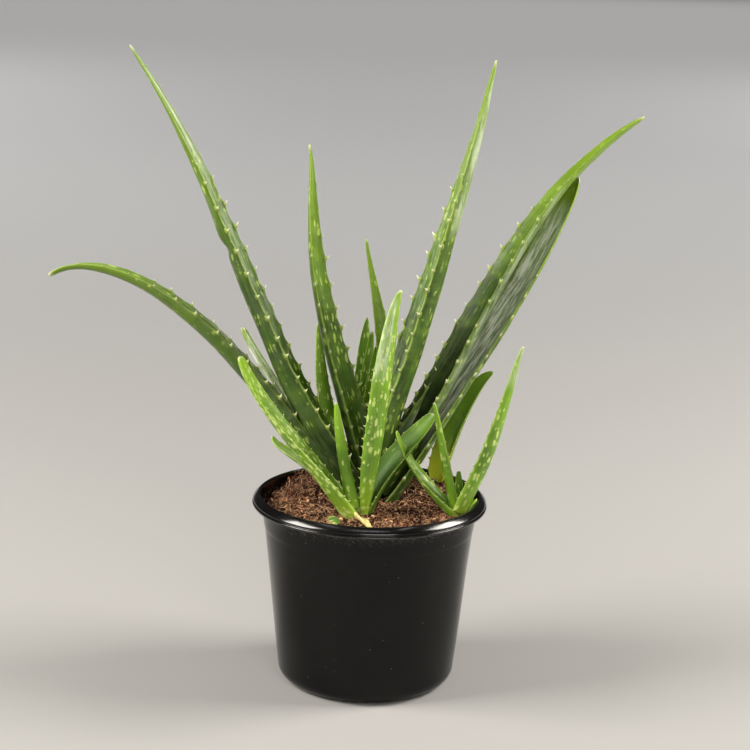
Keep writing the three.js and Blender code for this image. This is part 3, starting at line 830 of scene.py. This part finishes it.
def leaf_frames(leaf, t):
    """Centre line of the upper face at t, and there the directions along it, across it and out of it."""
    path = leaf["path"]
    ahead = np.minimum(t + SLOPE_STEP, 1)
    behind = np.maximum(t - SLOPE_STEP, 0)
    along = bend_points(path, ahead) - bend_points(path, behind)
    along /= np.linalg.norm(along, axis=1)[:, None]
    face = math.radians(leaf["face"])
    facing = np.array([math.cos(face), math.sin(face), 1.0]) / math.sqrt(2)
    out = facing - (along @ facing)[:, None] * along
    out /= np.linalg.norm(out, axis=1)[:, None]
    across = np.cross(along, out)
    turn = (np.radians(leaf["twist"]) * t)[:, None]
    turned = out * np.cos(turn) + across * np.sin(turn)
    return bend_points(path, t), along, np.cross(along, turned), turned


def leaf_bluntness(leaf, t):
    """What a rounded tip adds to the half width, in millimetres."""
    ahead = leaf["length"] * np.maximum(1 - t, 0)
    return leaf["blunt"] * np.sqrt(1 - np.exp(-ahead / leaf["blunt"])) * np.exp(-ahead / BLUNT_REACH)


def leaf_half_width(leaf, t):
    taper = np.maximum(1 - t, 0) ** leaf["taper"] * (1 + leaf["taper"] * t)
    narrowing = 1 - leaf["narrowing"] * np.exp(-t / leaf["narrowing_reach"])
    return 0.5 * leaf["width"] * taper * narrowing + leaf_bluntness(leaf, t)


def leaf_thickness(leaf, t):
    return leaf["thick"] * np.maximum(1 - t, 0) ** THICKNESS_POWER + leaf_bluntness(leaf, t)


def leaf_fold(leaf, t):
    base, middle, tip = leaf["fold"]
    return np.radians(middle + (tip - middle) * t + (base - middle) * np.exp(-t / BASE_FOLD_REACH))


def tooth_size(leaf, share, random):
    """Length of a tooth: full up to two thirds of the leaf, small beyond."""
    fading = float(smoothstep(0.62, 0.8, share))
    return leaf["tooth"] * (1 - 0.15 * share) * (1 - 0.68 * fading) * (0.85 + 0.3 * random.random())


def tooth_places(leaf, random):
    """Place along the leaf and length of each tooth on one margin."""
    places = []
    distance = (0.06 + 0.03 * random.random()) * leaf["length"]
    while distance < 0.97 * leaf["length"]:
        place = distance + leaf["spacing"] * 0.14 * (2 * random.random() - 1)
        places.append((place, tooth_size(leaf, place / leaf["length"], random)))
        distance += leaf["spacing"] * (0.8 + 0.4 * distance / leaf["length"])
    return places


def leaf_stations(length):
    """Distances from the root to each section, closer together at the tip."""
    count = int(length / LEAF_STEP)
    ahead = [length * (1 - i / count) for i in range(count)]
    ahead += [LEAF_STEP * part for part in TIP_STEPS]
    return length - np.array(ahead)


def leaf_strips(strips, share, least):
    """How strong an effect is: each strip lies on one face, between shares of its width and length."""
    strength = np.full((len(share), len(SECTION)), least)
    for amount, side, (left, right), (low, high) in strips:
        strip = smoothstep(left - 0.15, left + 0.1, SECTION) * smoothstep(right + 0.15, right - 0.1, SECTION)
        length = smoothstep(low - 0.06, low + 0.06, share) * smoothstep(high + 0.05, high - 0.05, share)
        strength = np.maximum(strength, amount * length[:, None] * (strip * (IS_LOWER == side))[None])
    return strength


def leaf_waves(leaf, reach, half, random):
    """Shallow ripples over the skin, and the dents of a kink, in millimetres out of the leaf."""
    phase = random.random(4) * 2 * math.pi
    waves = (0.2 * np.sin(reach / 17 + phase[0]) + 0.13 * np.sin(reach / 7.3 + phase[1]))[:, None]
    waves = waves + 0.14 * np.sin(reach / 11 + phase[2])[:, None] * np.sin(3 * SECTION + phase[3])[None]
    waves = waves * np.minimum(half / 8, 1)[:, None]
    for place, at, deep, wide in leaf["dents"]:
        near = np.exp(-((reach / leaf["length"] - place) * leaf["length"] / wide) ** 2)[:, None]
        waves = waves + deep * near * np.exp(-((SECTION - at) / 0.45) ** 2)[None] * IS_LOWER[None]
    return waves


def leaf_surface(leaf, reach, t, half, waves, teeth):
    """Points of all sections: a folded channel with a rounded back, swollen at the root of each tooth."""
    centre, _, across, out = leaf_frames(leaf, t)
    fold = leaf_fold(leaf, t)
    bow = half / fold
    angle = fold[:, None] * SECTION[None]
    rounding = np.sqrt(np.maximum(1 - SECTION * SECTION, 0))
    depth = leaf_thickness(leaf, t)[:, None] * rounding[None] * IS_LOWER[None]
    swell = np.zeros(angle.shape)
    for side, places in teeth.items():
        at_margin = np.clip(side * SECTION, 0, 1) ** 8
        for place, size in places:
            near = np.exp(-((reach - place) / (1.15 * size)) ** 2)[:, None]
            swell += 0.26 * size * near * at_margin[None]
    x = (bow[:, None] + depth) * np.sin(angle) + swell * np.sign(SECTION)[None] * np.cos(angle)
    y = bow[:, None] * (1 - np.cos(angle)) - depth * np.cos(angle) + swell * np.abs(np.sin(angle)) + waves
    return centre[:, None] + across[:, None] * x[..., None] + out[:, None] * y[..., None]


def build_leaf(leaf, index):
    """One leaf with its teeth, and what its skin needs to know at each vertex."""
    random = np.random.default_rng(LEAF_SEED + index)
    fine_t = np.linspace(0, 1, 800)
    stretch = np.linalg.norm(np.diff(bend_points(leaf["path"], fine_t), axis=0), axis=1)
    run = np.concatenate([[0], np.cumsum(stretch)])
    length = run[-1]
    leaf = dict(leaf, length=length)
    reach = leaf_stations(length)
    t = np.interp(reach, run, fine_t)
    half = leaf_half_width(leaf, t)
    waves = leaf_waves(leaf, reach, half, random)
    teeth = {side: tooth_places(leaf, random) for side in (-1, 1)} if leaf["tooth"] > 0 else {}
    surface = leaf_surface(leaf, reach, t, half, waves, teeth)

    sides = len(SECTION)
    tip_index = len(reach) * sides
    heel_index = tip_index + 1
    verts = [surface.reshape(-1, 3), np.array([leaf["path"][-1], surface[0].mean(axis=0)])]
    faces = ring_faces(len(reach), sides)
    faces += fan(tip_index - sides, sides, tip_index)
    faces += fan(0, sides, heel_index, flip=True)
    share = reach / length
    offset = LEAF_OFFSET * index
    attributes = {
        "along": [np.repeat(reach + offset, sides), [length + offset, offset]],
        "across": [(half[:, None] * SECTION[None] + FACE_OFFSET * IS_LOWER[None]).ravel(), [0, 0]],
        "margin": [(half[:, None] * (1 - np.abs(SECTION))[None]).ravel(), [0, 4]],
        "share": [np.repeat(share, sides), [1, 0]],
        "tooth": [np.repeat(0.55 * smoothstep(0.98, 1.0, share), sides), [0.6, 0]],
        # Strips of painted sheen and of painted shade
        "bloom": [leaf_strips(leaf["bloom"], share, LEAST_PAINTED_SHEEN).ravel(), [0, 0]],
        "shade": [1 - leaf_strips(leaf["shade"], share, 0).ravel(), [1, 1]],
    }
    count = heel_index + 1
    for side, places in teeth.items():
        for place, size in places:
            tooth_t = np.array([np.interp(place, run, fine_t)])
            tooth_verts, tooth_faces, height = build_tooth(leaf, tooth_t, side, size)
            verts.append(tooth_verts)
            faces.extend(tuple(count + i for i in face) for face in tooth_faces)
            number = len(tooth_verts)
            count += number
            edge = side * float(leaf_half_width(leaf, tooth_t)[0])
            at_root = {"along": place + offset, "across": edge, "share": place / length}
            at_root.update(margin=0, bloom=0, shade=1)
            for key, value in at_root.items():
                attributes[key].append(np.full(number, value, dtype=float))
            attributes["tooth"].append(height)
    attributes = {key: np.concatenate(values) for key, values in attributes.items()}
    attributes["tone"] = np.full(count, leaf["tone"])
    attributes["specks"] = np.full(count, leaf["specks"])
    node = leaf["node"]
    add_piece(node + "_fine", np.concatenate(verts), faces, leaf["skin"], attributes, (node,))


# Rings of a tooth: how far out each lies and how wide it is, as shares of the tooth's size
TOOTH_RINGS = [(-0.35, 1.9), (0.0, 1.3), (0.16, 0.85), (0.36, 0.52), (0.6, 0.3), (0.85, 0.14)]


def build_tooth(leaf, t, side, size):
    """A hooked tooth: broad along the margin, thin across it, curving towards the leaf's tip."""
    centre, along, across, out = (part[0] for part in leaf_frames(leaf, t))
    half = float(leaf_half_width(leaf, t)[0])
    fold = float(leaf_fold(leaf, t)[0])
    thickness = float(leaf_thickness(leaf, t)[0])
    bow = half / fold
    outward = side * (math.cos(fold) * across) + math.sin(fold) * out
    normal = -side * math.sin(fold) * across + math.cos(fold) * out
    root = centre + across * bow * math.sin(side * fold) + out * bow * (1 - math.cos(fold))
    root = root - normal * min(0.2 * size, 0.25 * thickness) + outward * 0.15 * size
    long_radius = 0.46 * size
    thin_radius = min(0.24 * size, 0.35 * thickness + 0.1)
    verts = []
    height = []
    for share, width in TOOTH_RINGS:
        middle = root + outward * size * share + along * size * (TOOTH_HOOK * max(share, 0) ** 1.7)
        for cosine, sine in circle(TOOTH_SIDES):
            verts.append(middle + along * long_radius * width * cosine
                         + normal * thin_radius * math.sqrt(width) * sine)
            height.append(float(smoothstep(0.1, 0.75, share)))
    verts.append(root + outward * size + along * size * TOOTH_HOOK)
    height.append(1.0)
    verts.append(root - outward * size * 0.35)
    height.append(0.0)
    faces = ring_faces(len(TOOTH_RINGS), TOOTH_SIDES)
    last = (len(TOOTH_RINGS) - 1) * TOOTH_SIDES
    top = last + TOOTH_SIDES
    faces += fan(last, TOOTH_SIDES, top)
    faces += fan(0, TOOTH_SIDES, top + 1, flip=True)
    if side > 0:
        faces = [face[::-1] for face in faces]
    return np.array(verts), faces, np.array(height)


# Where the tall left leaf is kinked, as a share of its length
KINK = 0.561

# Each leaf as in the part: root, bends and tip of its centre line on the upper face, in millimetres;
# width, taper and thickness; half angle of its channel at the base, above it and at the tip; compass
# direction that the upper face turns to; twist; length and spacing of its teeth; how light (partly
# painted shade), how spotted and how blunt it is; how much its base narrows and how far. Sheen strips
# paint a whitish sheen where light glints off the wax, and shade strips paint shadowed green: strength,
# face, reach across and along. A dent has its place along and across, its depth and its length.
LEAF = dict(twist=0, narrowing=0.2, narrowing_reach=0.05, bloom=(), shade=(), dents=())
MOTHER = dict(LEAF, skin=MOTHER_SKIN, thick=8, tooth=3.3, spacing=13, tone=0.7, specks=0.42, blunt=0.7)
PUP = dict(LEAF, skin=PUP_SKIN, thick=4, fold=(60, 40, 30), tooth=1.4, spacing=6.5, tone=0.9, specks=0.5,
           blunt=0.9)

LEAVES = [
    dict(MOTHER, node="mother_leaf_low_left",
        path=[(-10, 16, 100), (-66, 16, 168), (-102, 17, 223), (-157, 18, 240), (-181, 20, 222)],
        width=21, taper=0.85, fold=(75, 46, 40), face=16, twist=-15, tone=0.5, blunt=1.3,
        bloom=[(0.08, UPPER, WHOLE, (0.3, 0.95))], shade=[(0.2, LOWER, WHOLE, (0, 0.6))]),
    dict(MOTHER, node="mother_leaf_right_lower",
        path=[(8, 17, 100), (48, 24, 174), (97, 42, 231), (112, 56, 280)],
        width=28, taper=0.35, thick=6, fold=(75, 38, 40), face=231, twist=-15, blunt=1.5, tone=0.8,
        bloom=[(1, UPPER, (-0.7, 0.85), (0.2, 0.9))]),
    dict(MOTHER, node="mother_leaf_right_upper",
        path=[(5, 18, 105), (45, 22, 167), (67, 34, 225), (89, 50, 272), (150, 68, 313.5)],
        width=29.5, taper=0.4, thick=6, fold=(75, 36, 40), face=205, twist=-20,
        bloom=[(0.3, LOWER, (0.3, 0.95), (0.2, 0.75))],
        shade=[(0.25, UPPER, (-1.2, 0.3), (0, 0.68)), (0.5, UPPER, (-1.2, 0.3), (0, 0.55)),
               (0.75, UPPER, (-1.2, 0.5), (0, 0.42)), (0.75, UPPER, WHOLE, (0, 0.32))]),
    dict(MOTHER, node="mother_leaf_tall_left",
        path=[(-7, 16, 105), (-51, 14, 164), (-72, 12, 224), (-92, 8, 289), (-134, 4, 351)],
        width=29, taper=1.1, fold=(75, 51, 40), face=8, twist=-26, tone=0.5,
        shade=[(0.55, LOWER, WHOLE, (0, 0.18)), (0.3, LOWER, WHOLE, (0, 0.35)),
               (0.15, LOWER, WHOLE, (0, 0.6))],
        bloom=[(0.16, UPPER, WHOLE, (0.3, 0.95))],
        dents=[(KINK, -0.3, 1.5, 4), (KINK + 0.035, -0.3, -0.7, 7)]),
    dict(MOTHER, node="mother_leaf_small_left",
        path=[(-8, 21, 103), (-50, 32, 147), (-71, 40, 180), (-75, 46, 190)],
        width=13, taper=0.8, thick=3.5, fold=(75, 37, 40), face=5, twist=-22, tooth=1.5, spacing=8,
        blunt=1.3, bloom=[(0.95, UPPER, (-1, 0.1), (0.2, 0.95)), (0.9, LOWER, (-1, 1), (0.2, 0.9))]),
    dict(MOTHER, node="mother_leaf_tall_centre",
        path=[(-1, 16, 116), (29, 14, 213), (52, 10, 292), (61, 6, 348)],
        width=26.4, taper=0.75, fold=(75, 52, 40), face=202, twist=-16,
        bloom=[(0.15, UPPER, WHOLE, (0.2, 0.9)), (0.45, LOWER, (0.2, 0.9), (0.62, 0.97))]),
    dict(MOTHER, node="mother_leaf_centre_left",
        path=[(-3, 20, 112), (-16, 26, 177), (-44, 34, 221), (-33, 42, 259), (-39, 50, 295)],
        width=17.8, taper=1, thick=5.7, fold=(75, 50, 40), face=-40, twist=10, tone=0.6,
        shade=[(0.3, LOWER, WHOLE, (0, 0.25))]),
    dict(MOTHER, node="mother_leaf_inner",
        path=[(2, 21, 112), (17, 32, 157), (2, 40, 199), (-6, 46, 243)],
        width=13.5, taper=1.2, thick=5, fold=(70, 45, 35), face=-89, tooth=1.5, spacing=9),
    dict(PUP, node="back_pup_leaf_1",
        path=[(-7, 43, 104), (-30, 46, 128), (-30, 48, 163), (-32, 48, 193)],
        width=13, taper=0.9, face=-50, twist=-7, tone=0.6),
    dict(PUP, node="back_pup_leaf_2",
        path=[(-6, 42, 104), (-5, 43, 139), (-3, 45, 169), (-1, 45, 190)],
        width=12.3, taper=1.05, face=-90, tone=0.4),
    dict(PUP, node="back_pup_leaf_3",
        path=[(-4, 45, 104), (-5, 48, 148), (-6, 50, 181), (-4, 51, 197)],
        width=14.5, taper=1, face=-90, blunt=0.4, tone=0.3),
    dict(PUP, node="back_pup_leaf_4",
        path=[(-1, 40, 104), (0, 38, 149), (3, 38, 178), (3, 38, 188)],
        width=14.5, taper=1.05, face=-90, blunt=0.5, tone=0.5),
    dict(PUP, node="front_pup_leaf_1",
        path=[(-9.5, -20, 100), (-30, -20, 131), (-60, -22, 154), (-72, -24, 189)],
        width=18, taper=0.45, thick=5, fold=(70, 43, 35), face=12, twist=-29, blunt=1.3, tone=1.0,
        specks=1.0),
    dict(PUP, node="front_pup_leaf_2",
        path=[(-10, -13, 101), (-30, -11, 130), (-54, -9, 133), (-54, -8, 141)],
        width=12, taper=1, thick=3.5, fold=(60, 41, 30), face=-9, twist=-18, tone=1.0,
        bloom=[(0.4, LOWER, (-1, 0.2), (0.3, 0.95)), (0.4, UPPER, (-1, 0.2), (0.3, 0.95))]),
    dict(PUP, node="front_pup_leaf_3",
        path=[(-4, -15.5, 100), (7, -18, 167), (8, -18, 213), (14, -16, 226)],
        width=17, taper=0.85, thick=3.8, fold=(70, 45, 35), face=140, twist=-20, narrowing=0.9,
        narrowing_reach=0.12, specks=0.6, bloom=[(0.45, LOWER, (0.1, 1), (0.62, 0.95))]),
    dict(PUP, node="front_pup_leaf_4",
        path=[(-3, -12, 100), (5, -8, 127), (29, 0, 143), (34, 4, 153)],
        width=15, taper=0.55, fold=(65, 36, 30), face=223, twist=15, tone=0.25, specks=0.15,
        shade=[(0.45, UPPER, WHOLE, (0, 0.8)), (0.45, LOWER, WHOLE, (0, 0.8))]),
    dict(PUP, node="front_pup_leaf_5",
        path=[(-8, -14, 103), (-18, -12, 136), (-19, -10, 160), (-20, -9, 161)],
        width=6.3, taper=1.05, thick=3.5, fold=(60, 39, 30), face=85, blunt=0.6, tooth=0.9),
    dict(PUP, node="right_pup_leaf_1",
        path=[(48, -10, 99), (32, -9, 114), (18, -7, 129), (14, -5, 145)],
        width=12, taper=1.2, thick=3.2, fold=(65, 40, 30), face=-7, twist=-26, tone=0.6),
    dict(PUP, node="right_pup_leaf_2",
        path=[(50, -9, 101), (74, -9, 150), (76.5, -10, 187), (81, -12, 196)],
        width=17.5, taper=1.5, fold=(65, 45, 30), face=164, twist=-13, tone=0.7,
        bloom=[(0.3, LOWER, WHOLE, (0.78, 1))]),
    dict(PUP, node="right_pup_leaf_3",
        path=[(49, -9, 101), (40, -8, 135), (36, -7, 158), (34, -6, 162)],
        width=5, taper=1.15, fold=(65, 45, 30), face=22, twist=8, tooth=0.9, tone=0.6),
    dict(PUP, node="right_pup_leaf_4",
        path=[(55, -8, 98), (54, -7, 103), (59, -6, 107), (59, -5, 107)],
        width=5.2, taper=1, thick=2.5, fold=(50, 40, 30), face=180, tooth=0.5, spacing=3),
    dict(PUP, node="right_pup_leaf_5",
        path=[(51, -7, 101), (49, -6, 112), (49, -5, 120), (49, -5, 123)],
        width=4.2, taper=1.15, thick=2.5, fold=(50, 40, 30), face=-89, tooth=0.5, spacing=4, tone=0.2),
    dict(PUP, node="side_shoot_leaf", skin=SHOOT_SKIN,
        path=[(37.5, 37.5, 105), (46, 38, 140), (59, 38, 165), (68.5, 38, 169.5)],
        width=15.5, taper=0.8, fold=(48, 41, 30), face=228, twist=10, blunt=0.6, narrowing=0.5,
        tone=1.0, specks=0.1),
    dict(PUP, node="old_leaf_stub", skin=WITHERED, tooth=0,
        path=[(-5, -26, 101.6), (-4, -32, 103.6), (-1, -40, 101.6), (1, -47, 101.2)],
        width=8.5, taper=0.5, thick=2, fold=(30, 25, 20), face=60, blunt=0.4),
    dict(PUP, node="leaf_scrap", tooth=0,
        path=[(-21.2, -38, 101.4), (-19.2, -38, 103.2), (-17.2, -37.5, 102.8), (-15.4, -37, 101.4)],
        width=6.2, taper=0.9, thick=0.8, fold=(20, 25, 10), face=-70, twist=30, blunt=0.1, tone=0.3),
]


# Stage: camera, floor and studio light

def build_camera():
    """The photograph's view: level, then turned down, and rolled about the line of sight."""
    cosine = math.cos(CAMERA_PITCH)
    forward = Vector((math.sin(CAMERA_YAW) * cosine, math.cos(CAMERA_YAW) * cosine, -math.sin(CAMERA_PITCH)))
    level = Vector((math.cos(CAMERA_YAW), -math.sin(CAMERA_YAW), 0.0))
    upright = level.cross(forward)
    right = math.cos(CAMERA_ROLL) * level + math.sin(CAMERA_ROLL) * upright
    up = -math.sin(CAMERA_ROLL) * level + math.cos(CAMERA_ROLL) * upright
    data = bpy.data.cameras.new("camera")
    data.sensor_fit = "HORIZONTAL"
    data.sensor_width = CAMERA_SENSOR
    data.lens = CAMERA_LENS
    data.clip_end = 100.0
    camera = add_object("camera", data)
    turn = Matrix((right, up, -forward)).transposed().to_4x4()
    camera.matrix_world = Matrix.Translation((0.0, -CAMERA_DISTANCE, CAMERA_HEIGHT)) @ turn
    bpy.context.scene.camera = camera


def add_light(name, place, aim, size, power, warmth=(1.0, 1.0, 1.0), spread=180):
    data = bpy.data.lights.new(name, "AREA")
    data.shape = "RECTANGLE"
    data.size = size[0]
    data.size_y = size[1]
    data.energy = power
    data.color = warmth
    data.spread = math.radians(spread)
    light = add_object(name, data)
    light.location = place
    light.rotation_euler = (Vector(aim) - Vector(place)).to_track_quat("-Z", "Y").to_euler()


def build_world():
    """Very little light from all round, behind a pale sky that only the camera sees."""
    world = bpy.data.worlds.new("studio")
    world.use_nodes = True
    tree = world.node_tree
    background = tree.nodes["Background"]
    background.inputs["Color"].default_value = SKY
    seen = tree.nodes.new("ShaderNodeLightPath").outputs["Is Camera Ray"]
    strength = tree.nodes.new("ShaderNodeMapRange")
    tree.links.new(seen, strength.inputs["Value"])
    strength.inputs["To Min"].default_value = WORLD_LIGHT
    strength.inputs["To Max"].default_value = WORLD_SEEN
    tree.links.new(strength.outputs["Result"], background.inputs["Strength"])
    bpy.context.scene.world = world


def build_stage():
    """Pale floor, world and lights."""
    nodes = Nodes("floor_pale")
    nodes.feed("Base Color", FLOOR_GREY)
    nodes.feed("Roughness", 0.8)
    nodes.feed("Specular IOR Level", 0.2)
    mesh = bpy.data.meshes.new("floor")
    corners = [(-1, -1), (1, -1), (1, 1), (-1, 1)]
    mesh.from_pydata([(FLOOR_REACH * x, FLOOR_REACH * y, 0) for x, y in corners], [], [(0, 1, 2, 3)])
    mesh.materials.append(nodes.material)
    floor = add_object("floor", mesh)
    build_world()
    for name, place, size, power in SOFT_LIGHTS:
        add_light(name, place, AIM, size, power, KEY_WARMTH)
    for name, x, y in PANELS:
        place = (PANEL_DISTANCE * x, PANEL_DISTANCE * y, PANEL_HEIGHT)
        below = (place[0], place[1], 0)
        add_light("panel_" + name, place, below, (PANEL_SIZE, PANEL_SIZE), PANEL_POWER, spread=PANEL_SPREAD)
    bpy.context.scene.view_settings.view_transform = "Standard"


build_camera()
build_stage()
build_pot()
build_soil()
build_crumbs()
build_fibres()
for stem in STEMS:
    build_stem(*stem)
for number, leaf in enumerate(LEAVES):
    build_leaf(leaf, number)
